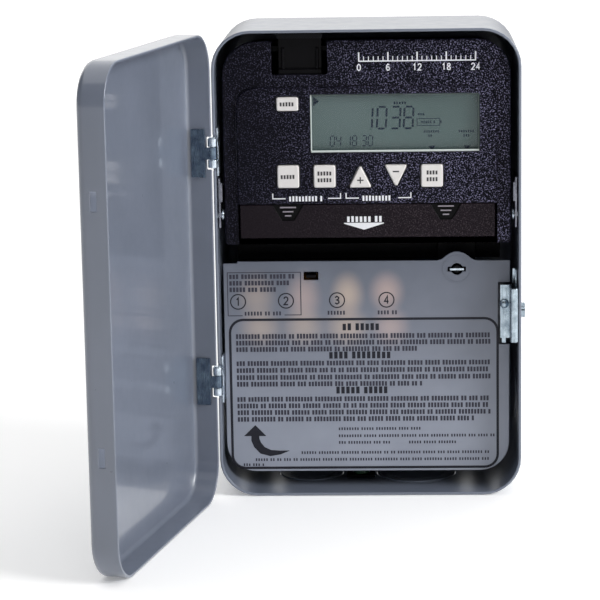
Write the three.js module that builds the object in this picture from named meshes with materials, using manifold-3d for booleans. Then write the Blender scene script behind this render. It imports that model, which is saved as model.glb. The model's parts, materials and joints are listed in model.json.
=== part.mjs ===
// Wall-mounted electronic time switch in a drawn steel case with a hinged door.
// Millimetres. X is to the right, Y points into the wall, Z is up.
// The origin is the centre of the case's back face.
import * as THREE from 'three';
import { mergeVertices, toCreasedNormals } from 'three/addons/utils/BufferGeometryUtils.js';
import Module from 'manifold-3d';

// ---- driving dimensions -------------------------------------------------

const CASE_WIDTH = 127;
const CASE_HEIGHT = 196.85;
const CASE_DEPTH = 64;
const SHEET = 1.2;
const CORNER_R = 16;
const BACK_R = 6;

const DOOR_DEPTH = 11.6;
const DOOR_GAP = 0.6;
const DOOR_FOLD_R = 3;
const DOOR_OPEN_DEG = 103;

const HINGE_Z = 48.3;
const HINGE_BARREL_R = 2;
const HINGE_PIN_R = 1;
const RUNNING_GAP = 0.05;
const LEAF = 0.8;

const GAP = 0.3;
const CURVE = 5;

const KNOCKOUT_Y = -31;
const BOTTOM_KNOCKOUTS = [
  { name: 'knockout_bottom_left', x: -26, r: 13.9 },
  { name: 'knockout_bottom_right', x: 19.4, r: 17.2 },
];
const SIDE_KNOCKOUT_Z = -62;
const SIDE_KNOCKOUT_R = 11.1;

const COVER_FRONT_Y = -56;
const COVER_BACK_Y = -54;
const PANEL_FRONT_Y = -57.3;
const COVER_LEFT = -59.7;
const COVER_RIGHT = 59.5;
const COVER_TOP = 93.3;
const PANEL_LEFT = -54.3;
const PANEL_RIGHT = 54.1;
const PANEL_TOP = 74.3;
const PANEL_BOTTOM = 25.5;
const RAIL_BOTTOM = 8.2;
const RAIL_LEFT = -54;
const RAIL_RIGHT = 53.8;
const NOTCH = { left: -39.1, right: -16, bottom: 79.2 };
const LCD = { left: -23.4, right: 46.7, bottom: 46.8, top: 71.2 };

const BUTTON_FRONT_Y = -58.3;
const BUTTON_BACK_Y = -53.1;
const BUTTONS = [
  { name: 'button_mode', x: -32.7, z: 67.4, w: 9, h: 5.7 },
  { name: 'button_reset', x: -32.8, z: 37.1, w: 9, h: 9.4 },
  { name: 'button_next', x: -17.7, z: 37.1, w: 9, h: 9.4 },
  { name: 'button_plus', x: -2.9, z: 36.6, w: 8.6, h: 8.6, point: 1 },
  { name: 'button_minus', x: 11.9, z: 37.4, w: 8.6, h: 8.6, point: -1 },
  { name: 'button_on_off', x: 26.8, z: 37, w: 9, h: 9.4 },
];

const STRIP = { left: -53.2, right: 52.9, bottom: 11.1, top: 25.2 };
const CELL_R = 7.1;
const CELL_LENGTH = 50.2;
const CELL_Y = -46.5;
const CELL_Z = 18.1;

const TERMINAL_XS = [-46, -27.5, -9, 9.5];
const TERMINAL_PITCH = 18.5;

const SHEET_Y = -53.2;
const SHEET_THICK = 0.8;
const POST = { x: 37, z: -3.3 };
const WINDOW = { left: -27.3, right: -21.2, bottom: -7.5, top: -4 };

const LATCH_Z = -20;

// ---- materials ----------------------------------------------------------

const paints = {
  enamel: { color: 0x737a84, metalness: 0.2, roughness: 0.35 },
  black: { color: 0x1f1d23, metalness: 0, roughness: 0.55 },
  smooth: { color: 0x121216, metalness: 0, roughness: 0.4 },
  zinc: { color: 0xb4bcc4, metalness: 0.9, roughness: 0.3 },
  brass: { color: 0xc9a25c, metalness: 0.9, roughness: 0.3 },
  key: { color: 0xdedad8, metalness: 0, roughness: 0.5 },
  clear: { color: 0xd8e4e2, metalness: 0, roughness: 0.1, opacity: 0.35, transparent: true },
  display: { color: 0x5e6e6c, metalness: 0.1, roughness: 0.3 },
  frosted: { color: 0x858a96, metalness: 0, roughness: 0.5, opacity: 0.6, transparent: true },
  silicone: { color: 0x8d9095, metalness: 0, roughness: 0.8 },
  board: { color: 0x1f5a36, metalness: 0, roughness: 0.5 },
  relay: { color: 0x2b4f8e, metalness: 0, roughness: 0.4 },
  cell: { color: 0x9a9da3, metalness: 0.6, roughness: 0.3 },
  green: { color: 0x2f7d3c, metalness: 0.4, roughness: 0.4 },
  terminal: { color: 0x3a2c24, metalness: 0, roughness: 0.5 },
};

// ---- solid helpers ------------------------------------------------------

const wasm = await Module();
wasm.setup();

function toSolid(geometry) {
  const bare = geometry.clone();
  bare.deleteAttribute('normal');
  bare.deleteAttribute('uv');
  const merged = mergeVertices(bare, 1e-4);
  return new wasm.Manifold(new wasm.Mesh({
    numProp: 3,
    vertProperties: new Float32Array(merged.attributes.position.array),
    triVerts: new Uint32Array(merged.index.array),
  }));
}

function join(...solids) {
  return solids.reduce((whole, next) => whole.add(next));
}

function cut(solid, ...tools) {
  return tools.reduce((whole, tool) => whole.subtract(tool), solid);
}

function box(x0, x1, y0, y1, z0, z1) {
  const geometry = new THREE.BoxGeometry(x1 - x0, y1 - y0, z1 - z0);
  geometry.translate((x0 + x1) / 2, (y0 + y1) / 2, (z0 + z1) / 2);
  return toSolid(geometry);
}

// A shape drawn in X and Z, thickened from yFront to yBack.
function plate(shape, yFront, yBack, bevel = 0) {
  const geometry = new THREE.ExtrudeGeometry(shape, {
    depth: yBack - yFront - 2 * bevel,
    bevelEnabled: bevel > 0,
    bevelThickness: bevel,
    bevelSize: bevel,
    bevelOffset: -bevel,
    bevelSegments: 1,
    curveSegments: CURVE,
  });
  geometry.rotateX(Math.PI / 2);
  geometry.translate(0, yBack - bevel, 0);
  return toSolid(geometry);
}

function rod(axis, r, from, to, u, v, segments = 20) {
  const geometry = new THREE.CylinderGeometry(r, r, to - from, segments);
  const middle = (from + to) / 2;
  if (axis === 'x') {
    geometry.rotateZ(Math.PI / 2);
    geometry.translate(middle, u, v);
  } else if (axis === 'y') {
    geometry.translate(u, middle, v);
  } else {
    geometry.rotateX(Math.PI / 2);
    geometry.translate(u, v, middle);
  }
  return toSolid(geometry);
}

// A dome or screw head turned about a line along Y, from points of radius and y.
function turned(points, x, z, segments = 20) {
  const profile = points.map(([r, y]) => new THREE.Vector2(r, y));
  const geometry = new THREE.LatheGeometry(profile, segments);
  geometry.translate(x, 0, z);
  return toSolid(geometry);
}

function polygon(points) {
  return new THREE.Shape(points.map(([x, z]) => new THREE.Vector2(x, z)));
}

// Points of a quarter circle or less about x and z, from angle a0 to a1.
function arc(x, z, r, a0, a1, steps = CURVE) {
  if (r <= 0) return [[x, z]];
  return Array.from({ length: steps + 1 }, (_, i) => {
    const a = a0 + ((a1 - a0) * i) / steps;
    return [x + r * Math.cos(a), z + r * Math.sin(a)];
  });
}

// A rectangle whose corners have the radii tl, tr, br, bl.
function rounded(x0, x1, z0, z1, tl, tr = tl, br = tl, bl = tl) {
  const turn = Math.PI / 2;
  return polygon([
    ...arc(x1 - br, z0 + br, br, -turn, 0),
    ...arc(x1 - tr, z1 - tr, tr, 0, turn),
    ...arc(x0 + tl, z1 - tl, tl, turn, 2 * turn),
    ...arc(x0 + bl, z0 + bl, bl, 2 * turn, 3 * turn),
  ]);
}

// ---- drawn pans ---------------------------------------------------------

function ring(width, height, radius, y) {
  const steps = 8;
  const corners = [
    [width / 2 - radius, height / 2 - radius, 0],
    [-width / 2 + radius, height / 2 - radius, 1],
    [-width / 2 + radius, -height / 2 + radius, 2],
    [width / 2 - radius, -height / 2 + radius, 3],
  ];
  const points = [];
  for (const [x, z, quarter] of corners) {
    for (let i = 0; i <= steps; i += 1) {
      const a = (quarter + i / steps) * (Math.PI / 2);
      points.push([x + radius * Math.cos(a), y, z + radius * Math.sin(a)]);
    }
  }
  return points;
}

// A convex solid through rings of points, which run from the front to the back.
function loft(rings) {
  const n = rings[0].length;
  const faces = [];
  for (let k = 0; k + 1 < rings.length; k += 1) {
    for (let i = 0; i < n; i += 1) {
      const a = k * n + i;
      const b = k * n + ((i + 1) % n);
      faces.push(a, a + n, b, b, a + n, b + n);
    }
  }
  const last = (rings.length - 1) * n;
  for (let i = 1; i + 1 < n; i += 1) {
    faces.push(0, i, i + 1);
    faces.push(last, last + i + 1, last + i);
  }
  const geometry = new THREE.BufferGeometry();
  geometry.setAttribute('position', new THREE.Float32BufferAttribute(rings.flat(2), 3));
  geometry.setIndex(faces);
  return toSolid(geometry);
}

// A block with rounded corners whose closed end, at yEnd, has a folded edge.
function foldedBlock(width, height, corner, yOpen, yEnd, fold) {
  const way = Math.sign(yEnd - yOpen);
  const rings = [ring(width, height, corner, yOpen)];
  const steps = 4;
  for (let i = 0; i <= steps; i += 1) {
    const a = (i / steps) * (Math.PI / 2);
    const inset = fold * (1 - Math.cos(a));
    const y = yEnd - way * fold * (1 - Math.sin(a));
    rings.push(ring(width - 2 * inset, height - 2 * inset, corner - inset, y));
  }
  return loft(way > 0 ? rings : rings.reverse());
}

function pan(width, height, corner, yOpen, yEnd, fold) {
  const way = Math.sign(yEnd - yOpen);
  const outer = foldedBlock(width, height, corner, yOpen, yEnd, fold);
  const inner = foldedBlock(
    width - 2 * SHEET,
    height - 2 * SHEET,
    corner - SHEET,
    yOpen - way,
    yEnd - way * SHEET,
    fold - SHEET,
  );
  return cut(outer, inner);
}

// ---- scene --------------------------------------------------------------

const group = new THREE.Group();

function addPart(name, solid, paint) {
  const mesh = solid.getMesh();
  const geometry = new THREE.BufferGeometry();
  const position = new THREE.Float32BufferAttribute(mesh.vertProperties, 3);
  geometry.setAttribute('position', position);
  geometry.setIndex(Array.from(mesh.triVerts));
  const creased = toCreasedNormals(geometry, Math.PI / 6);
  const part = new THREE.Mesh(creased, new THREE.MeshStandardMaterial(paints[paint]));
  part.name = name;
  group.add(part);
}

// ---- case ---------------------------------------------------------------

const RIM_Y = -CASE_DEPTH;
const INNER_X = CASE_WIDTH / 2 - SHEET;
const INNER_Z = CASE_HEIGHT / 2 - SHEET;
const HINGE_X = -CASE_WIDTH / 2;
const HINGE_Y = RIM_Y - DOOR_GAP / 2;
const HINGES = [
  { name: 'upper', z: HINGE_Z },
  { name: 'lower', z: -HINGE_Z },
];

function hingeNotch(z, y0, y1, half) {
  return box(HINGE_X - 3, HINGE_X + SHEET + 0.05, y0, y1, z - half, z + half);
}

function keyhole() {
  return join(
    rod('y', 4.5, -3, 1, 0, 78),
    rod('y', 2.4, -3, 1, 0, 84.5),
    box(-2.4, 2.4, -3, 1, 78, 84.5),
  );
}

function makeCase() {
  let shell = pan(CASE_WIDTH, CASE_HEIGHT, CORNER_R, RIM_Y, 0, BACK_R);
  for (const { z } of HINGES) {
    shell = cut(shell, hingeNotch(z, RIM_Y - 1, RIM_Y + 2.2, 7.4));
  }
  for (const { x, r } of BOTTOM_KNOCKOUTS) {
    shell = cut(shell, rod('z', r, -INNER_Z - 3, -INNER_Z + 1, x, KNOCKOUT_Y, 32));
  }
  shell = cut(
    shell,
    rod('x', SIDE_KNOCKOUT_R, -INNER_X - 3, -INNER_X + 1, KNOCKOUT_Y, SIDE_KNOCKOUT_Z, 32),
    rod('x', SIDE_KNOCKOUT_R, INNER_X - 1, INNER_X + 3, KNOCKOUT_Y, SIDE_KNOCKOUT_Z, 32),
    rod('y', SIDE_KNOCKOUT_R, -3, 1, 0, SIDE_KNOCKOUT_Z, 32),
    keyhole(),
    rod('y', 3.2, -3, 1, -42, -80),
    rod('y', 3.2, -3, 1, 42, -80),
    rod('x', 3.5, INNER_X - 1, INNER_X + 3, -58, LATCH_Z),
    rod('x', 1.8, INNER_X - 1, INNER_X + 3, -47, LATCH_Z),
    rod('x', 1.8, INNER_X - 1, INNER_X + 3, -56, 20.4),
    rod('x', 1.8, -INNER_X - 3, -INNER_X + 1, -56, 21.1),
    rod('z', 1.9, -INNER_Z - 3, -INNER_Z + 1, -4.4, -37),
  );
  addPart('case_shell', shell, 'enamel');
}

// A punched disc with the pressed ring that marks the smaller of its two sizes.
function knockoutDisc(r) {
  const outer = r - GAP;
  const inner = r * 0.72;
  return [
    [0, 0],
    [inner, 0],
    [inner, 0.25],
    [inner + 0.6, 0.25],
    [inner + 0.6, 0],
    [outer, 0],
    [outer, SHEET],
    [0, SHEET],
  ];
}

function makeKnockouts() {
  for (const { name, x, r } of BOTTOM_KNOCKOUTS) {
    const profile = knockoutDisc(r).map(([a, t]) => new THREE.Vector2(a, -t));
    const geometry = new THREE.LatheGeometry(profile.reverse(), 28);
    geometry.rotateX(Math.PI / 2);
    geometry.translate(x, KNOCKOUT_Y, -INNER_Z + 0.4);
    addPart(name, toSolid(geometry), 'enamel');
  }
  for (const [name, side] of [['knockout_left', -1], ['knockout_right', 1]]) {
    const profile = knockoutDisc(SIDE_KNOCKOUT_R).map(([a, t]) => new THREE.Vector2(a, -t));
    const geometry = new THREE.LatheGeometry(profile.reverse(), 28);
    geometry.rotateZ(side * Math.PI / 2);
    geometry.translate(side * (INNER_X - 0.4), KNOCKOUT_Y, SIDE_KNOCKOUT_Z);
    addPart(name, toSolid(geometry), 'enamel');
  }
  const profile = knockoutDisc(SIDE_KNOCKOUT_R).map(([a, t]) => new THREE.Vector2(a, t));
  const geometry = new THREE.LatheGeometry(profile, 28);
  geometry.translate(0, -SHEET - 0.4, SIDE_KNOCKOUT_Z);
  addPart('knockout_back', toSolid(geometry), 'enamel');
}

// ---- door and hinges ----------------------------------------------------

function openDoor(solid) {
  return solid
    .translate([-HINGE_X, -HINGE_Y, 0])
    .rotate([0, 0, -DOOR_OPEN_DEG])
    .translate([HINGE_X, HINGE_Y, 0]);
}

function makeDoor() {
  const rim = RIM_Y - DOOR_GAP;
  let door = pan(CASE_WIDTH, CASE_HEIGHT, CORNER_R, rim, rim - DOOR_DEPTH, DOOR_FOLD_R);
  for (const { z } of HINGES) {
    door = cut(
      door,
      hingeNotch(z, rim - 1.95, rim + 1, 6.8),
      box(INNER_X - 1, INNER_X + 3, rim - 6.6, rim - 4.3, z - 3.7, z + 3.7),
    );
  }
  addPart('door_pan', openDoor(door), 'enamel');
}

function barrel(z0, z1) {
  return rod('z', HINGE_BARREL_R, z0, z1, HINGE_X, HINGE_Y);
}

function pinBore(z) {
  return rod('z', HINGE_PIN_R + RUNNING_GAP, z - 9, z + 9, HINGE_X, HINGE_Y);
}

function makeHinge(name, z) {
  const x0 = -INNER_X + 0.2;
  const x1 = x0 + LEAF;
  const caseLeaf = join(
    box(x0, x1, -61.6, -50, z - 10, z + 10),
    box(x0, x1, HINGE_Y, -61.5, z + 2.8, z + 6),
    box(x0, x1, HINGE_Y, -61.5, z - 6, z - 2.8),
    barrel(z + 2.8, z + 6),
    barrel(z - 6, z - 2.8),
  );
  const doorLeaf = join(
    box(x0, x1, -73, -67, z - 10, z + 10),
    box(x0, x1, -67.1, HINGE_Y, z - 2.5, z + 2.5),
    barrel(z - 2.5, z + 2.5),
  );
  const pin = join(
    rod('z', HINGE_PIN_R, z - 6.3, z + 6.2, HINGE_X, HINGE_Y),
    rod('z', 1.6, z + 6.1, z + 6.5, HINGE_X, HINGE_Y),
  );
  addPart(`case_hinge_leaf_${name}`, cut(caseLeaf, pinBore(z)), 'zinc');
  addPart(`door_hinge_leaf_${name}`, openDoor(cut(doorLeaf, pinBore(z))), 'zinc');
  addPart(`hinge_pin_${name}`, pin, 'zinc');
}

// ---- latch --------------------------------------------------------------

// The spring is folded at its front, so that it presses on the inside of the door's rim.
function makeLatch() {
  const z0 = -32.3;
  const z1 = -9.5;
  const outline = polygon([
    [61.2, -52.5], [62, -52.5], [62, -65.2], [61.5, -66], [60.8, -66.3],
    [59.9, -66.3], [59.2, -66], [58.8, -65.2], [58.8, -56.8], [55, -56.8],
    [55, -56], [59.6, -56], [59.6, -65], [60.1, -65.5], [60.7, -65.5], [61.2, -65],
  ]);
  const geometry = new THREE.ExtrudeGeometry(outline, { depth: z1 - z0, bevelEnabled: false });
  geometry.translate(0, 0, z0);
  const dimple = turned([[0, -58.4], [1.1, -58.2], [1.8, -57.6], [2, -56.4], [0, -56.4]], 56.6, -17.5);
  const spring = join(
    toSolid(geometry),
    dimple,
    box(55.6, 57.4, -56.8, -56, -34.4, -32.2),
    box(60.2, 62, -52.4, -51.6, -9.6, -3.4),
    box(61.2, 62, -56, -51.6, -9.6, -3.4),
    rod('x', 3.1, 61.9, 65.2, -58, LATCH_Z),
  );
  const bracket = join(
    box(60.9, 62, -52, -42, -30, -10),
    box(59.2, 60, -54.6, -51, -30, -10),
    box(59.2, 62, -52, -51.2, -30, -10),
  );
  addPart('latch_spring', spring, 'zinc');
  addPart('latch_bracket', cut(bracket, rod('x', 1.8, 58, 66, -47, LATCH_Z)), 'zinc');
  addPart('latch_rivet', rivet(1, 60.9, -47, LATCH_Z), 'zinc');
}

// A rivet through a side wall: a low head inside, and flush outside.
function rivet(side, xInner, y, z) {
  const outside = CASE_WIDTH / 2;
  const shank = rod('x', 1.5, xInner - 0.5, outside, y, z);
  const headA = rod('x', 2.6, xInner - 0.9, xInner - 0.3, y, z);
  const headB = rod('x', 1.9, xInner - 1.05, xInner - 0.8, y, z);
  const whole = join(shank, headA, headB);
  return side > 0 ? whole : whole.mirror([1, 0, 0]);
}

// ---- clips that hold the mechanism in the case --------------------------

function clipBracket(side, z) {
  const base = join(
    box(61, 61.9, -60.5, -44, z - 5, z + 16),
    box(60.2, 61.9, -60.5, -59.6, z + 6, z + 14),
    box(60.4, 61.2, -60, -52, z + 7, z + 8.2),
    box(60.4, 61.2, -60, -52, z + 9.4, z + 10.6),
    box(60.4, 61.2, -60, -52, z + 11.8, z + 13),
  );
  const bored = cut(base, rod('x', 1.8, 58, 66, -56, z));
  return side > 0 ? bored : bored.mirror([1, 0, 0]);
}

function makeClips() {
  addPart('clip_right', clipBracket(1, 20.4), 'zinc');
  addPart('clip_rivet_right', rivet(1, 61, -56, 20.4), 'zinc');
  addPart('clip_left', clipBracket(-1, 21.1), 'zinc');
  addPart('clip_rivet_left', rivet(-1, 61, -56, 21.1), 'zinc');
  const floor = -INNER_Z + 0.2;
  const lug = join(
    box(-10.5, 1.7, -41, -31, floor, floor + 1),
    box(-10.5, 1.7, -32, -31, floor, floor + 7),
  );
  const x = -4.4;
  const y = -37;
  addPart('ground_lug', cut(lug, rod('z', 1.9, floor - 1, floor + 2, x, y)), 'zinc');
  const screw = cut(
    join(
      rod('z', 1.6, -CASE_HEIGHT / 2, floor + 1.4, x, y),
      rod('z', 3.6, floor + 1.3, floor + 3.5, x, y),
    ),
    box(x - 5, x + 5, y - 0.5, y + 0.5, floor + 2.3, floor + 4),
  );
  addPart('ground_screw', screw, 'green');
}

// ---- front cover --------------------------------------------------------

function buttonShape(button, grow) {
  const { x, z, w, h, point } = button;
  if (!point) {
    return rounded(x - w / 2 - grow, x + w / 2 + grow, z - h / 2 - grow, z + h / 2 + grow, 0.8);
  }
  const side = w / 2 + grow * 1.7;
  const foot = z - point * (h / 2 + grow);
  const apex = z + point * (h / 2 + grow * 2);
  const tip = 0.9 * point;
  return polygon([
    [x - side, foot], [x + side, foot], [x + side, foot + tip],
    [x + 0.5, apex], [x - 0.5, apex], [x - side, foot + tip],
  ]);
}

function coverOutline(inset, foot, footR) {
  const x0 = COVER_LEFT + inset;
  const x1 = COVER_RIGHT - inset;
  return rounded(x0, x1, foot, COVER_TOP - inset, 14 - inset, 14 - inset, footR, footR);
}

function makeFrontCover() {
  const flange = plate(coverOutline(0, RAIL_BOTTOM, 1.5), COVER_FRONT_Y, COVER_BACK_Y, 0.5);
  const skirt = cut(
    plate(coverOutline(0.6, RAIL_BOTTOM + 0.6, 0), COVER_BACK_Y - 0.6, -47),
    plate(rounded(-57.5, 57.3, 0, COVER_TOP - 2.2, 12, 12, 0, 0), COVER_BACK_Y, -46),
  );
  const rails = join(
    box(-58.7, RAIL_LEFT - 1, -54.3, -50, RAIL_BOTTOM + 1, PANEL_BOTTOM + 2),
    box(RAIL_RIGHT + 1, 58.5, -54.3, -50, RAIL_BOTTOM + 1, PANEL_BOTTOM + 2),
  );
  const panelShape = rounded(PANEL_LEFT, PANEL_RIGHT, PANEL_BOTTOM - 5, PANEL_TOP, 8, 8, 0, 0);
  const panel = cut(
    plate(panelShape, PANEL_FRONT_Y, COVER_FRONT_Y + 1.2, 0.6),
    box(-60, 60, -60, -50, 0, PANEL_BOTTOM),
  );
  let cover = join(flange, skirt, rails, panel);
  cover = cut(
    cover,
    box(RAIL_LEFT, RAIL_RIGHT, -60, -40, 0, PANEL_BOTTOM),
    box(-55.6, 55.4, -55.2, -53.8, 0, PANEL_BOTTOM + 0.1),
    plate(rounded(NOTCH.left, NOTCH.right, NOTCH.bottom, 120, 1), -60, -40),
    plate(rounded(LCD.left, LCD.right, LCD.bottom, LCD.top, 0.6), -60, -50),
  );
  for (const button of BUTTONS) {
    cover = cut(cover, plate(buttonShape(button, 0.35), -60, -50));
  }
  addPart('front_cover', cover, 'black');
}

function makeDisplay() {
  const lens = rounded(LCD.left + GAP, LCD.right - GAP, LCD.bottom + GAP, LCD.top - GAP, 0.5);
  addPart('lcd_window', plate(lens, -56.4, -55, 0.3), 'clear');
  addPart('lcd_panel', box(-26, 49.2, -53.7, -51.3, 44.6, 73.4), 'display');
}

function makeButtons() {
  for (const button of BUTTONS) {
    const cap = plate(buttonShape(button, 0), BUTTON_FRONT_Y, -53.4, 0.4);
    const flange = plate(buttonShape(button, 0.9), -53.7, BUTTON_BACK_Y);
    addPart(button.name, join(cap, flange), 'key');
  }
  const mat = join(
    box(-40, -27, -52.1, -51.1, 30, 73),
    box(-40, 34, -52.1, -51.1, 30, 43.6),
  );
  addPart('keypad_mat', mat, 'silicone');
}

function makeReleaseTab() {
  const tab = join(
    box(-36.4, -18.4, -51.7, -50.2, 78, 96),
    box(-36.4, -18.4, -53.7, -51.6, 78.8, 81.3),
    box(-35, -34, -53.1, -51.6, 81.2, 90),
    box(-20.8, -19.8, -53.1, -51.6, 81.2, 90),
  );
  addPart('release_tab', tab, 'smooth');
  const top = INNER_Z - 0.2;
  const strike = join(
    box(-37, -18, -54, -40, top - 0.8, top),
    box(-37, -18, -54, -53.2, 94.2, top),
  );
  addPart('release_strike', strike, 'zinc');
}

// ---- mechanism ----------------------------------------------------------

function makeHousing() {
  const upper = cut(
    plate(rounded(-56, 55.8, 10.4, 90.5, 10.5, 10.5, 0, 0), -49.7, -17),
    plate(rounded(-54, 53.8, 12.4, 88.5, 8.5, 8.5, 0, 0), -60, -19),
  );
  const lower = join(
    box(-55.7, 55.5, -40, -17.3, -1, 10.6),
    box(29, 45, -44, -17.5, -9, 10.7),
  );
  const whole = cut(
    join(upper, lower),
    box(-53, 53, -56, -37.9, 8, 28),
    box(-39, -16, -53, -49.4, 86, 92),
    box(24, 36, -20, -16, 58.5, 61.5),
  );
  addPart('mechanism_housing', whole, 'black');
}

function makeBoard() {
  const blank = box(-52.5, 52.3, -50.8, -49.2, 30, 75.5);
  const board = cut(
    blank,
    rod('y', 1.6, -52, -48, -48.5, 34),
    rod('y', 1.6, -52, -48, 48.3, 34),
    rod('y', 1.6, -52, -48, -48.5, 71.5),
    rod('y', 1.6, -52, -48, 48.3, 71.5),
  );
  addPart('circuit_board', board, 'board');
  addPart('relay', box(18, 47, -48.9, -33, 44, 57), 'relay');
  const laminations = box(-32, 2, -46, -26, 36, 64);
  const coil = box(-26, -4, -48.9, -22, 40, 60);
  addPart('transformer', join(laminations, coil), 'terminal');
  const can = turned(
    [[0, -48.9], [6.2, -48.9], [6.2, -29.6], [5.8, -29], [0, -29]],
    -42,
    56,
  );
  addPart('capacitor', can, 'relay');
}

function makeSelector() {
  const selector = join(
    box(25, 29, -19.8, -15.8, 59, 61),
    box(23.6, 30.4, -21.5, -19.4, 57, 63),
  );
  addPart('voltage_selector', selector, 'smooth');
}

// ---- battery ------------------------------------------------------------

function makeBatteryTray() {
  const tray = cut(
    box(-52.6, 52.6, -53, -38.2, 9.7, 27.6),
    box(-51.4, 51.4, -60, -39.3, 10.9, 25.4),
  );
  const room = join(
    box(-60, 60, -51, -49, 28, 40),
  );
  addPart('battery_tray', cut(tray, room), 'smooth');
}

function cell(x0) {
  const x1 = x0 + CELL_LENGTH;
  return join(
    rod('x', CELL_R, x0, x1 - 1.2, CELL_Y, CELL_Z),
    rod('x', 2.7, x1 - 1.3, x1, CELL_Y, CELL_Z),
  );
}

function makeBatteries() {
  addPart('battery_cell_left', cell(-49.9), 'cell');
  addPart('battery_cell_right', cell(0.6), 'cell');
  addPart('battery_contact_left', box(-51.1, -50.3, CELL_Y - 5, CELL_Y + 5, 13, 23), 'zinc');
  addPart('battery_contact_right', box(50.9, 51.3, CELL_Y - 5, CELL_Y + 5, 13, 23), 'zinc');
}

function gripShape(x, zTop, grow) {
  return polygon([
    [x - 6.6 - grow, zTop], [x - 2.6 - grow, zTop - 6.8 - grow],
    [x + 2.6 + grow, zTop - 6.8 - grow], [x + 6.6 + grow, zTop],
  ]);
}

function makeBatteryCover() {
  const { left, right, bottom, top } = STRIP;
  const front = plate(rounded(left, right, bottom, top, 0.4), -57.1, -54.1, 0.3);
  const tongue = box(-55.2, 55, -54.9, -54.2, bottom + 0.5, top - 0.5);
  let cover = join(front, tongue);
  for (const x of [-33.2, 32.5]) {
    cover = cut(cover, plate(gripShape(x, top + 0.1, 0), -60, -56.2));
    for (const [half, drop] of [[3.4, 0.8], [2.3, 2.6], [1.4, 4.3]]) {
      const z = top - drop;
      cover = join(cover, box(x - half, x + half, -57.1, -56, z - 0.7, z));
    }
  }
  addPart('battery_cover', cover, 'black');
}

// ---- terminals ----------------------------------------------------------

function makeTerminals() {
  const left = TERMINAL_XS[0] - TERMINAL_PITCH / 2;
  const right = TERMINAL_XS[3] + TERMINAL_PITCH / 2;
  let block = join(
    box(left, right, -38, -18, -34, -1.3),
    box(left, right, -46, -37, -4, -1.3),
  );
  for (let i = 0; i <= TERMINAL_XS.length; i += 1) {
    const x = left + i * TERMINAL_PITCH;
    const edge = Math.min(Math.max(x, left + 0.9), right - 0.9);
    block = join(block, box(edge - 0.9, edge + 0.9, -47.5, -37, -34, -1.3));
  }
  for (const x of TERMINAL_XS) {
    block = cut(block, rod('y', 2.3, -40, -24, x, -13.5));
  }
  addPart('terminal_block', block, 'terminal');
  TERMINAL_XS.forEach((x, i) => {
    const clamp = cut(
      join(
        box(x - 6, x + 6, -39.6, -38.3, -31, -7),
        box(x - 6, x + 6, -42.4, -38.3, -31, -29.8),
      ),
      rod('y', 2.3, -44, -36, x, -13.5),
    );
    addPart(`terminal_plate_${i + 1}`, clamp, 'brass');
    const screw = turned(
      [[0, -44], [3.7, -44], [4.3, -43.4], [4.3, -39.9], [2, -39.9], [2, -25], [0, -25]],
      x,
      -13.5,
    );
    addPart(`terminal_screw_${i + 1}`, cut(screw, box(x - 5, x + 5, -45, -43, -14.1, -12.9)), 'brass');
  });
}

// ---- insulator ----------------------------------------------------------

function insulatorOutline() {
  const shape = new THREE.Shape();
  shape.moveTo(-61.1, -78);
  shape.lineTo(-61.1, -0.2);
  shape.lineTo(-55.2, -0.2);
  shape.lineTo(-55.2, 0.6);
  shape.lineTo(28.6, 0.4);
  shape.quadraticCurveTo(30.6, 0.6, 32.4, 2.4);
  shape.quadraticCurveTo(37, 6, 41.6, 2.4);
  shape.quadraticCurveTo(43.4, 0.6, 45.4, 0.3);
  shape.lineTo(59.2, 0.3);
  shape.lineTo(59.2, -9.1);
  shape.lineTo(54.3, -9.1);
  shape.lineTo(54.3, -35.6);
  shape.lineTo(59, -35.6);
  shape.lineTo(58.8, -78);
  shape.absarc(46.3, -78, 12.5, 0, -Math.PI / 2, true);
  shape.lineTo(-48.6, -90.5);
  shape.absarc(-48.6, -78, 12.5, -Math.PI / 2, -Math.PI, true);
  return shape;
}

function makeInsulator() {
  const y0 = SHEET_Y - SHEET_THICK / 2;
  const y1 = SHEET_Y + SHEET_THICK / 2;
  const sheet = cut(
    plate(insulatorOutline(), y0, y1),
    rod('y', 2.5, y0 - 1, y1 + 1, POST.x, POST.z),
    box(POST.x - 3.8, POST.x + 3.8, y0 - 1, y1 + 1, POST.z - 1, POST.z + 1),
    box(WINDOW.left, WINDOW.right, y0 - 1, y1 + 1, WINDOW.bottom, WINDOW.top),
  );
  addPart('insulator_sheet', sheet, 'frosted');
  const post = join(
    rod('y', 1.5, y0 - 0.2, -44.3, POST.x, POST.z),
    box(POST.x - 3.4, POST.x + 3.4, y0 - 0.6, y0, POST.z - 0.6, POST.z + 0.6),
  );
  addPart('insulator_post', post, 'zinc');
  const peg = join(
    box(-26.2, -22.2, y0 - 0.6, -46.3, -6.4, -5.2),
    box(-26.2, -22.2, -50, -46.3, -6.4, -3.4),
  );
  addPart('insulator_peg', peg, 'smooth');
}

// ---- assembly -----------------------------------------------------------

makeCase();
makeKnockouts();
makeDoor();
for (const { name, z } of HINGES) {
  makeHinge(name, z);
}
makeLatch();
makeClips();
makeFrontCover();
makeDisplay();
makeButtons();
makeReleaseTab();
makeHousing();
makeBoard();
makeSelector();
makeBatteryTray();
makeBatteries();
makeBatteryCover();
makeTerminals();
makeInsulator();

export default group;
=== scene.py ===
"""Looks of the wall-mounted time switch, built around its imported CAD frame.

Sizes in the tables below are millimetres in the row frame: X right, Y into the wall, Z up.
Each CAD solid is replaced by a copy of itself with rounded edges, and the printed marks,
the display's segments and the small trim are added as pieces of their own.
"""

import json
import math
import random

import bmesh
import bpy
from mathutils import Matrix, Vector

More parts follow.
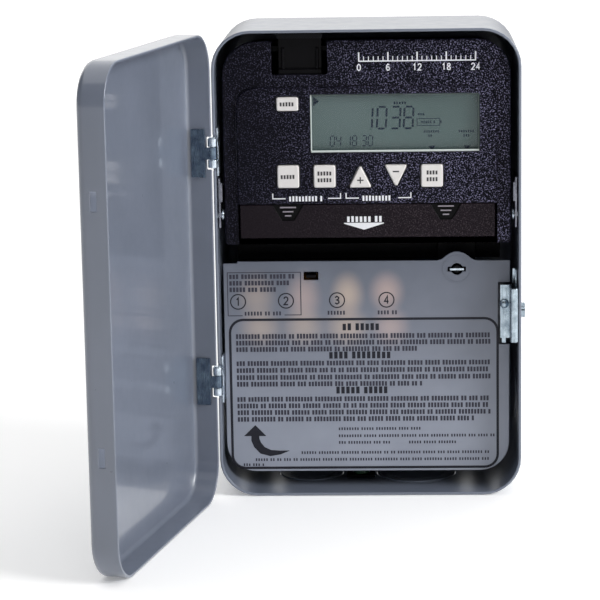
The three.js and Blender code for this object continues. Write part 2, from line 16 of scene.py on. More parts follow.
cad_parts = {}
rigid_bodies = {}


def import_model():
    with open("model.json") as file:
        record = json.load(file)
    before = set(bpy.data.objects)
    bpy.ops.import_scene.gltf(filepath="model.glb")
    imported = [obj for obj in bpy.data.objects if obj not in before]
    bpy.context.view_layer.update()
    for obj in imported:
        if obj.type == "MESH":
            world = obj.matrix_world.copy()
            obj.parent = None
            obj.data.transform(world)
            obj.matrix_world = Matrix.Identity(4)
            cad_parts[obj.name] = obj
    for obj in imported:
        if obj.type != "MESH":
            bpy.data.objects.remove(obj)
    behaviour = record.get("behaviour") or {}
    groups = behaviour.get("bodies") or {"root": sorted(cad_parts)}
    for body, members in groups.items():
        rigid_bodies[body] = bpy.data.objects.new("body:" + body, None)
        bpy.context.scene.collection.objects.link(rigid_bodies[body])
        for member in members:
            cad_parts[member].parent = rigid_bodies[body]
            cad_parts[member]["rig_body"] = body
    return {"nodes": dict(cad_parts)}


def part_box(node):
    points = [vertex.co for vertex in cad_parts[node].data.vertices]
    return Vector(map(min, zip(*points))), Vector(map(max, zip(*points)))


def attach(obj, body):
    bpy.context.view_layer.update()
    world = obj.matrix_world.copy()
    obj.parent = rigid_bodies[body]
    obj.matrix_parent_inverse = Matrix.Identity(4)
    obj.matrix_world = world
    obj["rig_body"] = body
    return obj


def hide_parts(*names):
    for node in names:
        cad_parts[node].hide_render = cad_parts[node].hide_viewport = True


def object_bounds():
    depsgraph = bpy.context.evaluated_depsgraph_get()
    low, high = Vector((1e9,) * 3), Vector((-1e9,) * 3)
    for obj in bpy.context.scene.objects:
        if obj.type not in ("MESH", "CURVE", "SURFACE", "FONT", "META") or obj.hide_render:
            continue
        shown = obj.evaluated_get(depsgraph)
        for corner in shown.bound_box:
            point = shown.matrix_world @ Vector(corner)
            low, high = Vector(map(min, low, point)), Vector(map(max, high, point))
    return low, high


MM = 0.001
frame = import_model()
CAD_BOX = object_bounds()
NODES = frame["nodes"]

# ---------------------------------------------------------------- materials


def paint(red, green, blue):
    """A display colour from 0 to 255 as the linear colour that shaders take."""

    def linear(v):
        v /= 255
        return v / 12.92 if v <= 0.04045 else ((v + 0.055) / 1.055) ** 2.4

    return (linear(red), linear(green), linear(blue), 1.0)


# The Mix node keeps its colour sockets after those for numbers and vectors.
MIX_COLOUR_INPUTS = (6, 7)
MIX_COLOUR_OUTPUT = 2


class Finish:
    """A node material, with short names for the few nodes that every finish uses."""

    def __init__(self, name, **sockets):
        self.material = bpy.data.materials.new(name)
        self.material.use_nodes = True
        self.tree = self.material.node_tree
        self.shader = self.tree.nodes["Principled BSDF"]
        for key, value in sockets.items():
            self.shader.inputs[key.replace("_", " ")].default_value = value
        coords = self.tree.nodes.new("ShaderNodeTexCoord")
        self.place = coords.outputs["Object"]

    def link(self, output, node, socket):
        self.tree.links.new(output, node.inputs[socket])

    def set(self, socket, output):
        self.link(output, self.shader, socket)

    def stretched(self, x, y, z):
        node = self.tree.nodes.new("ShaderNodeMapping")
        node.inputs["Scale"].default_value = (x, y, z)
        self.link(self.place, node, "Vector")
        return node.outputs[0]

    def noise(self, size_mm, detail=2.0, roughness=0.5, place=None):
        """Noise from 0 to 1 whose features are about size_mm across."""
        node = self.tree.nodes.new("ShaderNodeTexNoise")
        node.inputs["Scale"].default_value = 1 / (size_mm * MM)
        node.inputs["Detail"].default_value = detail
        node.inputs["Roughness"].default_value = roughness
        self.link(place or self.place, node, "Vector")
        return node.outputs[0]

    def axis(self, index):
        """The place along X, Y or Z, in metres, for index 0, 1 or 2."""
        node = self.tree.nodes.new("ShaderNodeSeparateXYZ")
        self.link(self.place, node, "Vector")
        return node.outputs[index]

    def ramp(self, output, low, high, start=0.0, end=1.0):
        """A number remapped from start..end to low..high."""
        node = self.tree.nodes.new("ShaderNodeMapRange")
        node.inputs["From Min"].default_value = start
        node.inputs["From Max"].default_value = end
        node.inputs["To Min"].default_value = low
        node.inputs["To Max"].default_value = high
        self.link(output, node, "Value")
        return node.outputs[0]

    def maths(self, kind, a, b):
        node = self.tree.nodes.new("ShaderNodeMath")
        node.operation = kind
        for index, value in enumerate((a, b)):
            if isinstance(value, (int, float)):
                node.inputs[index].default_value = value
            else:
                self.tree.links.new(value, node.inputs[index])
        return node.outputs[0]

    def blend(self, factor, a, b):
        """Colour a where factor is 0, colour b where it is 1."""
        node = self.tree.nodes.new("ShaderNodeMix")
        node.data_type = "RGBA"
        self.tree.links.new(factor, node.inputs[0])
        for index, value in zip(MIX_COLOUR_INPUTS, (a, b)):
            if isinstance(value, tuple):
                node.inputs[index].default_value = value
            else:
                self.tree.links.new(value, node.inputs[index])
        return node.outputs[MIX_COLOUR_OUTPUT]

    def bump(self, height, depth_mm, strength):
        node = self.tree.nodes.new("ShaderNodeBump")
        node.inputs["Strength"].default_value = strength
        node.inputs["Distance"].default_value = depth_mm * MM
        self.link(height, node, "Height")
        self.set("Normal", node.outputs[0])

    def near(self, x, z, half_x, half_z):
        """1 at a place in X and Z, falling smoothly to 0 at an ellipse's edge."""
        across = self.maths("DIVIDE", self.maths("SUBTRACT", self.axis(0), x * MM), half_x * MM)
        up = self.maths("DIVIDE", self.maths("SUBTRACT", self.axis(2), z * MM), half_z * MM)
        across_squared = self.maths("MULTIPLY", across, across)
        up_squared = self.maths("MULTIPLY", up, up)
        inside = self.ramp(self.maths("ADD", across_squared, up_squared), 1.0, 0.0)
        return self.maths("MULTIPLY", inside, inside)


def enamel(name, coat_roughness):
    """Baked paint: a cloudy tone, a fine orange peel and a coat."""
    f = Finish(name, Coat_Weight=0.7, Coat_Roughness=coat_roughness)
    tone = f.ramp(f.noise(38, 3), 0.0, 1.0, 0.3, 0.7)
    f.set("Base Color", f.blend(tone, paint(105, 112, 126), paint(112, 119, 134)))
    f.set("Roughness", f.ramp(f.noise(5, 4), 0.24, 0.38))
    f.bump(f.noise(2.6, 1.5), 0.012, 0.5)
    return f.material


def textured_black(name, dark, light, speckle, shine=0.42):
    """Moulded plastic with a spark-eroded grain, and small pale specks painted on it as the grain's
    glints.

    The specks are painted stronger towards the right, as the photograph is lit.
    """
    f = Finish(name, Specular_IOR_Level=0.1)
    grain = f.noise(0.55, 1, 0.5)
    patch = f.ramp(f.noise(24, 2), 0.7, 1.3, 0.3, 0.7)
    to_the_right = f.ramp(f.axis(0), 0.18, 1.1, -50 * MM, 45 * MM)
    strength = f.maths("MULTIPLY", patch, to_the_right)
    # The pale specks are painted glints, made stronger to the right as painted light.
    speck = f.maths("MULTIPLY", f.ramp(grain, 0.0, speckle, 0.55, 0.68), strength)
    f.set("Base Color", f.blend(speck, dark, light))
    f.set("Roughness", f.ramp(grain, shine - 0.1, shine + 0.2, 0.3, 0.7))
    f.bump(grain, 0.11, 0.75)
    return f.material


def smooth_black(name, low, high):
    f = Finish(name, Specular_IOR_Level=0.1)
    f.set("Base Color", f.blend(f.noise(9, 3), low, high))
    f.set("Roughness", f.ramp(f.noise(4, 3), 0.26, 0.46))
    f.bump(f.noise(1.4, 2), 0.02, 0.4)
    return f.material


def zinc(name, low, high):
    f = Finish(name, Metallic=1.0)
    cloud = f.noise(3.2, 4, 0.6)
    f.set("Base Color", f.blend(f.ramp(cloud, 0, 1, 0.3, 0.7), low, high))
    streak = f.noise(0.9, 3, 0.6, f.stretched(1.0, 1.0, 0.12))
    f.set("Roughness", f.ramp(streak, 0.14, 0.36, 0.3, 0.7))
    f.bump(streak, 0.02, 0.5)
    return f.material


def brass():
    f = Finish("brass", Metallic=1.0)
    f.set("Base Color", f.blend(f.noise(4, 3), paint(196, 150, 84), paint(228, 190, 126)))
    f.set("Roughness", f.ramp(f.noise(1.2, 3), 0.2, 0.42))
    f.bump(f.noise(0.7, 2), 0.015, 0.4)
    return f.material


def key_plastic():
    f = Finish("key_plastic", Specular_IOR_Level=0.45)
    f.set("Base Color", f.blend(f.noise(3.5, 3), paint(218, 214, 211), paint(230, 227, 225)))
    f.set("Roughness", f.ramp(f.noise(0.9, 3), 0.34, 0.52))
    f.bump(f.noise(0.5, 2), 0.02, 0.35)
    return f.material


def clear_window():
    f = Finish("clear_window", Roughness=0.06, Alpha=0.05)
    f.set("Base Color", f.blend(f.noise(20, 2), paint(96, 108, 106), paint(120, 132, 130)))
    return f.material


def window_edge(name, low, high):
    f = Finish(name, Roughness=0.12)
    f.set("Base Color", f.blend(f.noise(6, 2), low, high))
    return f.material


def display_glass():
    """Grey-green glass with one paler patch, painted where the photograph shows it."""
    f = Finish("display_glass")
    # A painted reflection: a paler patch on the glass towards its upper left.
    painted_reflection = f.near(-12, 65, 26, 14)
    base = f.blend(f.noise(30, 2), paint(80, 99, 99), paint(86, 105, 105))
    f.set("Base Color", f.blend(f.maths("MULTIPLY", painted_reflection, 0.35), base, paint(108, 125, 125)))
    f.set("Roughness", f.ramp(f.noise(6, 2), 0.24, 0.36))
    f.bump(f.noise(0.3, 1), 0.004, 0.3)
    return f.material


def frosted_sheet(glow_spots):
    """Milky plastic, with painted shade that makes it darker towards its top.

    The warm, blurred patches are painted glow that stands for the lit brass behind it. They are
    painted in place.
    """
    f = Finish("frosted_sheet", Coat_Weight=0.25, Coat_Roughness=0.2)
    # Painted shade: the sheet is darker towards its top.
    height = f.ramp(f.axis(2), 0.0, 1.0, -75 * MM, 0.0)
    low = f.blend(height, paint(139, 145, 159), paint(86, 92, 106))
    high = f.blend(height, paint(147, 153, 167), paint(94, 100, 114))
    base = f.blend(f.ramp(f.noise(22, 3), 0, 1, 0.3, 0.7), low, high)
    # Painted glow: each spot blends in the warm colour of the lit brass behind the sheet.
    for x, z, half_x, half_z, colour, share in glow_spots:
        spot = f.maths("MULTIPLY", f.near(x, z, half_x, half_z), share)
        base = f.blend(spot, base, colour)
    f.set("Base Color", base)
    f.set("Roughness", f.ramp(f.noise(1.5, 3), 0.34, 0.5))
    f.bump(f.noise(34, 2), 0.9, 0.2)
    return f.material


def silicone():
    f = Finish("silicone", Roughness=0.75)
    f.set("Base Color", f.blend(f.noise(3, 3), paint(134, 137, 142), paint(148, 151, 156)))
    f.bump(f.noise(0.8, 3), 0.03, 0.5)
    return f.material


def circuit_board():
    """Solder mask over copper areas, drawn as a brick pattern in the board's own plane."""
    f = Finish("solder_mask", Roughness=0.35)
    node = f.tree.nodes.new("ShaderNodeTexBrick")
    node.inputs["Scale"].default_value = 190
    node.inputs["Mortar Size"].default_value = 0.06
    turned = f.tree.nodes.new("ShaderNodeMapping")
    turned.inputs["Rotation"].default_value = (math.pi / 2, 0, 0)
    f.link(f.place, turned, "Vector")
    f.link(turned.outputs[0], node, "Vector")
    f.set("Base Color", f.blend(node.outputs["Fac"], paint(24, 78, 44), paint(52, 120, 66)))
    f.bump(node.outputs["Fac"], 0.03, 0.6)
    return f.material


# The Wave texture's scale that gives one band in each metre.
WAVE_SCALE = 0.314


def banded(name, dark, light, period_mm, axis, bump_mm, metallic):
    """Bands across one axis: stacked laminations, or a cell's jacket."""
    f = Finish(name, Metallic=metallic, Roughness=0.4)
    node = f.tree.nodes.new("ShaderNodeTexWave")
    node.bands_direction = axis
    node.inputs["Scale"].default_value = WAVE_SCALE / (period_mm * MM)
    node.inputs["Distortion"].default_value = 0.4
    f.link(f.place, node, "Vector")
    f.set("Base Color", f.blend(node.outputs["Fac"], dark, light))
    f.bump(node.outputs["Fac"], bump_mm, 0.8)
    return f.material


def moulded(name, low, high, size_mm=4, rough=0.45):
    f = Finish(name)
    f.set("Base Color", f.blend(f.noise(size_mm, 3), low, high))
    f.set("Roughness", f.ramp(f.noise(size_mm / 3, 3), rough - 0.1, rough + 0.12))
    f.bump(f.noise(size_mm / 5, 3), 0.025, 0.5)
    return f.material


def ink(name, low, high, rough=0.5):
    f = Finish(name, Roughness=rough, Specular_IOR_Level=0.25)
    f.set("Base Color", f.blend(f.noise(1.1, 3), low, high))
    f.bump(f.noise(0.4, 2), 0.006, 0.4)
    return f.material


WHITE = (1, 1, 1, 1)


def floor_paper():
    f = Finish("floor_paper", Roughness=0.8, Specular_IOR_Level=0.2, Emission_Strength=0.22)
    f.shader.inputs["Emission Color"].default_value = WHITE
    f.set("Base Color", f.blend(f.noise(90, 3), paint(247, 247, 247), paint(250, 250, 250)))
    return f.material


# Painted glow on the insulator sheet: warm patches that stand for the lit brass behind it.
WARM = paint(222, 196, 172)
ROSE = paint(214, 184, 172)
# Each patch's middle in X and Z, its half width and half height, its colour and its share.
GLOW_SPOTS = [
    (-47.5, -14.5, 10, 13, WARM, 0.3),
    (-27.5, -15, 9, 14, ROSE, 0.42),
    (-9, -14, 8.5, 12, WARM, 0.5),
    (7.5, -13, 9, 11, ROSE, 0.5),
    (-46, -28, 11, 11, WARM, 0.36),
    (-27.7, -28, 11, 11, WARM, 0.34),
    (-9.2, -28, 11.5, 11, WARM, 0.42),
    (8.9, -28, 10, 11, ROSE, 0.4),
]

FINISH = {
    "enamel": enamel("enamel_grey_blue", 0.07),
    "enamel_case": enamel("enamel_grey_blue_case", 0.24),
    "black": textured_black("grained_black", paint(3, 3, 13), paint(138, 135, 168), 0.85),
    "strip": textured_black("grained_strip", paint(24, 18, 24), paint(104, 92, 98), 0.3, 0.34),
    "dark": textured_black("shaded_black", paint(5, 5, 8), paint(40, 38, 46), 0.3, 0.5),
    "smooth": smooth_black("smooth_black", paint(7, 7, 10), paint(13, 12, 16)),
    # Painted shade for the strip's recesses and the panel step, and a pale painted highlight for the
    # grip ridges and the step's left edge.
    "painted_shade": smooth_black("painted_shade_black", paint(4, 4, 6), paint(8, 8, 10)),
    "ridge": smooth_black("painted_highlight_grey", paint(128, 122, 130), paint(156, 150, 158)),
    # Near-black metal on the ground tab, the release keeper and the insulator hanger.
    "near_black": smooth_black("near_black_steel", paint(10, 11, 14), paint(22, 23, 28)),
    "zinc": zinc("zinc_plate", paint(160, 173, 186), paint(216, 226, 236)),
    # Darker copies of the zinc: painted shade on the latch and on the door's hinge leaves.
    "latch": zinc("latch_zinc", paint(118, 132, 144), paint(186, 200, 210)),
    "shaded": zinc("shaded_zinc", paint(66, 78, 98), paint(112, 128, 142)),
    "dull": zinc("dull_zinc", paint(96, 98, 108), paint(140, 142, 152)),
    "brass": brass(),
    "key": key_plastic(),
    "clear": clear_window(),
    # Pale colours for the window's bevelled rim and for the strip beside it: painted highlights.
    "edge": window_edge("window_edge", paint(130, 146, 140), paint(172, 188, 182)),
    "window_glint": window_edge("window_painted_highlight", paint(206, 218, 213), paint(232, 240, 237)),
    "display": display_glass(),
    "frosted": frosted_sheet(GLOW_SPOTS),
    "silicone": silicone(),
    "board": circuit_board(),
    "relay": moulded("relay_case", paint(36, 72, 136), paint(48, 86, 150)),
    "sleeve": moulded("capacitor_sleeve", paint(24, 26, 60), paint(36, 38, 78), 3, 0.3),
    "laminations": banded("laminations", paint(60, 58, 58), paint(112, 108, 104), 0.7, "Y", 0.06, 0.6),
    "cell": banded("cell_jacket", paint(132, 136, 142), paint(160, 163, 168), 6.0, "X", 0.0, 0.5),
    "green": moulded("green_screw", paint(18, 58, 28), paint(26, 74, 38), 2, 0.35),
    "terminal": moulded("phenolic", paint(22, 17, 16), paint(34, 26, 24)),
    "white_ink": ink("white_ink", paint(226, 227, 232), paint(240, 241, 244)),
    "black_ink": ink("black_ink", paint(24, 25, 34), paint(34, 35, 46)),
    "grey_ink": ink("grey_ink", paint(48, 48, 60), paint(60, 60, 74)),
    "key_ink": ink("key_ink", paint(58, 56, 58), paint(78, 76, 78)),
    "segment": ink("segment", paint(14, 30, 52), paint(20, 36, 58), 0.3),
}

# ------------------------------------------------------- copies of CAD solids

# An edge that turns more than SHARP is rounded. One that turns more than NO_SOFTER, and has
# no room for a rounding, is left as a hard edge.
SHARP = math.radians(29)
NO_SOFTER = math.radians(38)
LEAST_SHARE = 0.04
# A rounding takes up to this share of the shortest edge beside it.
ROOM_SHARE = 0.3
# Points closer than this, in metres, and faces that turn less than this, are merged first.
SAME_POINT = 2e-6
NEARLY_FLAT = math.radians(0.6)


def finish_mesh(obj):
    """Smooth shading that keeps large flat faces flat."""
    for polygon in obj.data.polygons:
        polygon.use_smooth = True
    normals = obj.modifiers.new("flat_faces_stay_flat", "WEIGHTED_NORMAL")
    normals.keep_sharp = True
    normals.weight = 80


def place_piece(name, mesh, body):
    obj = bpy.data.objects.new(name, mesh)
    bpy.context.scene.collection.objects.link(obj)
    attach(obj, body)
    return obj


def edge_room(edge):
    """The length of the shortest edge at either end, this edge among them."""
    return min(e.calc_length() for v in edge.verts for e in v.link_edges)


def rounded_copy(node, piece, finish, round_mm, slot, segments):
    """A CAD solid again, with its sharp edges rounded, that stands for the plain one."""
    mesh = bpy.data.meshes.new(piece)
    work = bmesh.new()
    work.from_mesh(NODES[node].data)
    bmesh.ops.remove_doubles(work, verts=work.verts, dist=SAME_POINT)
    bmesh.ops.dissolve_limit(work, angle_limit=NEARLY_FLAT, verts=work.verts, edges=work.edges)
    bmesh.ops.recalc_face_normals(work, faces=work.faces)
    weight = work.edges.layers.float.new("bevel_weight_edge")
    for edge in work.edges:
        turn = edge.calc_face_angle(0.0)
        room = ROOM_SHARE * edge_room(edge) / (round_mm * MM)
        share = min(1.0, room) if turn > SHARP else 0.0
        edge[weight] = share
        edge.smooth = not (turn > NO_SOFTER and share < LEAST_SHARE)
    work.to_mesh(mesh)
    work.free()
    obj = place_piece(piece, mesh, NODES[node]["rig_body"])
    bevel = obj.modifiers.new("rounded_edges", "BEVEL")
    bevel.limit_method = "WEIGHT"
    bevel.width = round_mm * MM
    bevel.segments = segments
    bevel.use_clamp_overlap = False
    finish_mesh(obj)
    obj.data.materials.append(FINISH[finish])
    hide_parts(node)
    return obj


# CAD node, name of its piece, finish, rounding in mm, slot, and segments in the rounding.
COPIES = [
    ("case_shell", "case_body", "enamel_case", 0.45, "enamel", 3),
    ("door_pan", "door_panel", "enamel", 0.45, "enamel", 3),
    ("knockout_bottom_left", "knockout_disc_bottom_left", "enamel_case", 0.2, "enamel", 2),
    ("knockout_bottom_right", "knockout_disc_bottom_right", "enamel_case", 0.2, "enamel", 2),
    ("knockout_left", "knockout_disc_left", "enamel_case", 0.2, "enamel", 2),
    ("knockout_right", "knockout_disc_right", "enamel_case", 0.2, "enamel", 2),
    ("knockout_back", "knockout_disc_back", "enamel_case", 0.2, "enamel", 2),
    ("case_hinge_leaf_upper", "hinge_leaf_case_upper", "zinc", 0.15, "zinc", 2),
    ("case_hinge_leaf_lower", "hinge_leaf_case_lower", "zinc", 0.15, "zinc", 2),
    ("door_hinge_leaf_upper", "hinge_leaf_door_upper", "shaded", 0.15, "zinc", 2),
    ("door_hinge_leaf_lower", "hinge_leaf_door_lower", "shaded", 0.15, "zinc", 2),
    ("hinge_pin_upper", "hinge_rivet_upper", "zinc", 0.2, "zinc", 2),
    ("hinge_pin_lower", "hinge_rivet_lower", "zinc", 0.2, "zinc", 2),
    ("latch_spring", "latch_strip", "latch", 0.18, "zinc", 2),
    ("latch_bracket", "latch_guide", "latch", 0.15, "zinc", 2),
    ("latch_rivet", "latch_guide_rivet", "zinc", 0.2, "zinc", 2),
    ("clip_left", "side_clip_left", "dull", 0.2, "zinc", 2),
    ("clip_right", "side_clip_right", "dull", 0.2, "zinc", 2),
    ("clip_rivet_left", "side_clip_rivet_left", "zinc", 0.25, "zinc", 2),
    ("clip_rivet_right", "side_clip_rivet_right", "zinc", 0.25, "zinc", 2),
    ("ground_lug", "ground_tab", "near_black", 0.2, "zinc", 2),
    ("ground_screw", "ground_tab_screw", "green", 0.25, "green", 2),
    ("front_cover", "front_moulding", "black", 0.3, "black", 2),
    ("keypad_mat", "keypad_membrane", "silicone", 0.25, "silicone", 2),
    ("release_tab", "release_catch", "smooth", 0.25, "smooth", 2),
    ("release_strike", "release_keeper", "near_black", 0.2, "zinc", 2),
    ("mechanism_housing", "mechanism_case", "dark", 0.4, "black", 2),
    ("circuit_board", "main_board", "board", 0.12, "board", 1),
    ("relay", "relay_case", "relay", 0.6, "relay", 3),
    ("transformer", "transformer_core", "laminations", 0.5, "terminal", 2),
    ("capacitor", "capacitor_can", "sleeve", 0.5, "relay", 3),
    ("voltage_selector", "voltage_slider", "smooth", 0.25, "smooth", 2),
    ("battery_tray", "battery_bay", "smooth", 0.25, "smooth", 2),
    ("battery_cell_left", "cell_left", "cell", 0.5, "cell", 3),
    ("battery_cell_right", "cell_right", "cell", 0.5, "cell", 3),
    ("battery_contact_left", "cell_contact_left", "zinc", 0.2, "zinc", 2),
    ("battery_contact_right", "cell_contact_right", "zinc", 0.12, "zinc", 2),
    ("battery_cover", "battery_strip", "strip", 0.25, "black", 2),
    ("terminal_block", "terminal_strip", "terminal", 0.3, "terminal", 2),
    ("insulator_post", "insulator_hanger", "near_black", 0.2, "zinc", 2),
    ("insulator_peg", "insulator_hook", "smooth", 0.25, "smooth", 2),
    ("insulator_sheet", "insulator_flap", "frosted", 0.25, "frosted", 2),
    ("lcd_panel", "display_cell", "display", 0.3, "display", 2),
]
for number in range(1, 5):
    COPIES.append((f"terminal_plate_{number}", f"clamp_plate_{number}", "brass", 0.25, "brass", 2))
    COPIES.append((f"terminal_screw_{number}", f"clamp_screw_{number}", "brass", 0.3, "brass", 2))
for key in ("mode", "reset", "next", "plus", "minus", "on_off"):
    COPIES.append((f"button_{key}", f"key_{key}", "key", 0.35, "key", 3))

for row in COPIES:
    rounded_copy(*row)


WINDOW_RIM = 0.55
# A painted highlight strip below and to the left of the window: left, right, bottom and top.
WINDOW_GLINT = (-23.2, 46.4, 46.95, 71.0)


def make_window():
    """The display's window: a clear plate whose bevelled rim is coloured pale as a painted highlight.
    """
    window = rounded_copy("lcd_window", "display_window", "clear", 0.25, "clear", 2)
    window.data.materials.append(FINISH["edge"])
    low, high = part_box("lcd_window")
    rim = WINDOW_RIM * MM
    for polygon in window.data.polygons:
        centre = polygon.center
        inside_x = low.x + rim < centre.x < high.x - rim
        inside_z = low.z + rim < centre.z < high.z - rim
        polygon.material_index = 0 if inside_x and inside_z else 1
    # A pale strip along the window's lower and left sides: a painted highlight.
    window_glint = Print(low.y / MM, 0.03, 0.02)
    left, right, bottom, top = WINDOW_GLINT
    window_glint.bar(left + 0.1, right, bottom, bottom + 0.8)
    window_glint.bar(left, left + 0.45, bottom + 0.8, top)
    window_glint.done("display_window_painted_highlight", "window_glint", "case")


# Where the strip's finger recesses are, measured from halfway between them.
GRIPS_MIDDLE_X = -2
GRIPS_FROM, GRIPS_TO = 15, 48
GRIPS_LOWEST_Z = 10
GRIP_RECESS_Y = -56.9
# A ridge is a small, low face that looks forwards.
RIDGE_HEIGHT = 1.3
RIDGE_AREA = 12
FORWARDS = 0.9


def paint_grips():
    """The strip's two finger recesses get painted shade, and the ridges in them a light grey painted
    highlight.
    """
    strip = bpy.data.objects["battery_strip"]
    strip.data.materials.append(FINISH["painted_shade"])
    strip.data.materials.append(FINISH["ridge"])
    points = strip.data.vertices
    for polygon in strip.data.polygons:
        centre = polygon.center
        heights = [points[i].co.z for i in polygon.vertices]
        low = max(heights) - min(heights) < RIDGE_HEIGHT * MM
        small = polygon.area < RIDGE_AREA * MM * MM
        away = abs(centre.x - GRIPS_MIDDLE_X * MM)
        if not (GRIPS_FROM * MM < away < GRIPS_TO * MM and centre.z > GRIPS_LOWEST_Z * MM):
            continue
        # Painted shade on the recess floor.
        if centre.y > GRIP_RECESS_Y * MM:
            polygon.material_index = 1
        # Painted highlight on the ridges' front faces.
        if polygon.normal.y < -FORWARDS and small and low:
            polygon.material_index = 2


paint_grips()


# Step faces lie in front of this depth. The ones that look left, at the panel's left edge, get a pale
# painted highlight; the others painted shade.
STEP_Y = -56.3
STEP_LEFT_X = -48


def darken_panel_step():
    """The raised panel's step gets painted shade as a dark line around it, with a painted highlight on
    its left edge.
    """
    cover = bpy.data.objects["front_moulding"]
    cover.data.materials.append(FINISH["painted_shade"])
    cover.data.materials.append(FINISH["ridge"])
    for polygon in cover.data.polygons:
        if abs(polygon.normal.y) < 0.5 and polygon.center.y < STEP_Y * MM:
            left_edge = polygon.normal.x < -0.9 and polygon.center.x < STEP_LEFT_X * MM
            polygon.material_index = 2 if left_edge else 1


darken_panel_step()

# ------------------------------------------------------------- printed marks


class Print:
    """Thin raised marks on a face that looks towards -Y, gathered into one piece."""

    def __init__(self, face_y, thick=0.05, sunk=0.03):
        self.front = (face_y - thick) * MM
        self.back = (face_y + sunk) * MM
        self.work = bmesh.new()

    def corners(self, x, z):
        return (
            self.work.verts.new((x * MM, self.front, z * MM)),
            self.work.verts.new((x * MM, self.back, z * MM)),
        )

    def patch(self, points):
        """A filled outline."""
        pairs = [self.corners(x, z) for x, z in points]
        self.work.faces.new([p[0] for p in pairs])
        self.work.faces.new([p[1] for p in reversed(pairs)])
        for a, b in zip(pairs, pairs[1:] + pairs[:1]):
            self.work.faces.new((a[0], a[1], b[1], b[0]))

    def bar(self, x0, x1, z0, z1):
        self.patch([(x0, z0), (x1, z0), (x1, z1), (x0, z1)])

    def line(self, points, width, closed=False):
        """A mitred line. Width is one number, or one for each point."""
        count = len(points)
        widths = [width] * count if isinstance(width, (int, float)) else width
        sides = []
        for i, point in enumerate(points):
            here = Vector(point)
            before = Vector(points[i - 1]) if i or closed else None
            after = Vector(points[(i + 1) % count]) if i + 1 < count or closed else None
            first = (here - before).normalized() if before is not None else None
            second = (after - here).normalized() if after is not None else None
            first, second = first or second, second or first
            normal = Vector((-first.y - second.y, first.x + second.x)).normalized()
            reach = widths[i] / 2 / max(0.4, normal.dot(Vector((-first.y, first.x))))
            left = self.corners(*(here + normal * reach))
            right = self.corners(*(here - normal * reach))
            sides.append((left, right))
        steps = list(zip(sides, sides[1:] + sides[:1]))
        for (al, ar), (bl, br) in steps if closed else steps[:-1]:
            for face in (
                (al[0], bl[0], br[0], ar[0]),
                (al[1], ar[1], br[1], bl[1]),
                (al[0], al[1], bl[1], bl[0]),
                (ar[0], br[0], br[1], ar[1]),
            ):
                self.work.faces.new(face)
        if not closed:
            for (left, right) in (sides[0], sides[-1]):
                self.work.faces.new((left[0], right[0], right[1], left[1]))

    def circle(self, x, z, radius, width, steps=36):
        turn = 2 * math.pi / steps
        angles = [i * turn for i in range(steps)]
        points = [(x + radius * math.cos(a), z + radius * math.sin(a)) for a in angles]
        self.line(points, width, closed=True)

    def border(self, x0, x1, z0, z1, radius, width):
        """A rectangle's outline with rounded corners."""
        steps = 7
        left, right = x0 + radius, x1 - radius
        low, high = z0 + radius, z1 - radius
        points = []
        for quarter, (x, z) in enumerate([(right, low), (right, high), (left, high), (left, low)]):
            for i in range(steps + 1):
                a = (quarter - 1 + i / steps) * math.pi / 2
                points.append((x + radius * math.cos(a), z + radius * math.sin(a)))
        self.line(points, width, closed=True)

    def ticks(self, x0, x1, z, height, rng, pitch, share):
        """A row of small ticks in groups: it stands for a line of print and says nothing."""
        gap = pitch * 0.6
        low = z - height / 2
        x = x0
        while x < x1 - gap:
            run = rng.choice((2, 3, 4, 5, 6, 7, 8, 9))
            for _ in range(run):
                if x > x1 - gap:
                    break
                tall = height * rng.choice((1.0, 1.0, 0.94))
                self.bar(x, x + pitch * share, low, low + tall)
                x += pitch
            x += gap

    def done(self, name, finish, body):
        bmesh.ops.recalc_face_normals(self.work, faces=self.work.faces)
        mesh = bpy.data.meshes.new(name)
        self.work.to_mesh(mesh)
        self.work.free()
        obj = place_piece(name, mesh, body)
        obj.data.materials.append(FINISH[finish])


# Each digit as strokes in a box one unit wide and two high.
STROKES = {
    "0": [
        [(0.15, 0.3), (0, 0.6), (0, 1.4), (0.15, 1.75), (0.5, 2), (0.85, 1.75)]
        + [(1, 1.4), (1, 0.6), (0.85, 0.3), (0.5, 0), (0.15, 0.3)],
    ],
    "1": [[(0.15, 1.5), (0.55, 2), (0.55, 0)]],
    "2": [
        [(0, 1.5), (0.15, 1.85), (0.5, 2), (0.85, 1.85), (1, 1.45), (0.85, 1.05), (0, 0), (1.05, 0)],
    ],
    "3": [
        [(0, 1.65), (0.45, 2), (0.95, 1.7), (0.9, 1.3), (0.45, 1.05)]
        + [(0.95, 0.8), (1, 0.35), (0.5, 0), (0, 0.3)],
    ],
    "4": [[(0.75, 0), (0.75, 2), (0, 0.6), (1.05, 0.6)]],
    "6": [
        [(0.95, 1.7), (0.5, 2), (0.1, 1.5), (0, 0.6), (0.3, 0.05)]
        + [(0.8, 0.1), (1, 0.6), (0.75, 1.1), (0.3, 1.1), (0, 0.7)],
    ],
    "8": [
        [(0.5, 1.08), (0.1, 1.4), (0.15, 1.85), (0.5, 2), (0.85, 1.85), (0.9, 1.4), (0.5, 1.08)]
        + [(0.05, 0.7), (0.1, 0.15), (0.5, 0), (0.9, 0.15), (0.95, 0.7), (0.5, 1.08)],
    ],
}

# Which of its seven segments a display digit lights. From a to g they are: top, upper right,
# lower right, bottom, lower left, upper left, middle.
SEVEN = {"0": "abcdef", "1": "bc", "3": "abgcd", "4": "fgbc", "8": "abcdefg"}


def write_number(mark, text, x, z, high, width):
    """A number in plain strokes, centred on x and z."""
    wide = high / 2
    step = wide + width * 1.6
    left = x - (len(text) * step - width * 1.6) / 2
    for i, digit in enumerate(text):
        start, base = left + i * step, z - high / 2
        for stroke in STROKES[digit]:
            mark.line([(start + u * wide, base + v * high / 2) for u, v in stroke], width)


LEAN = 0.06


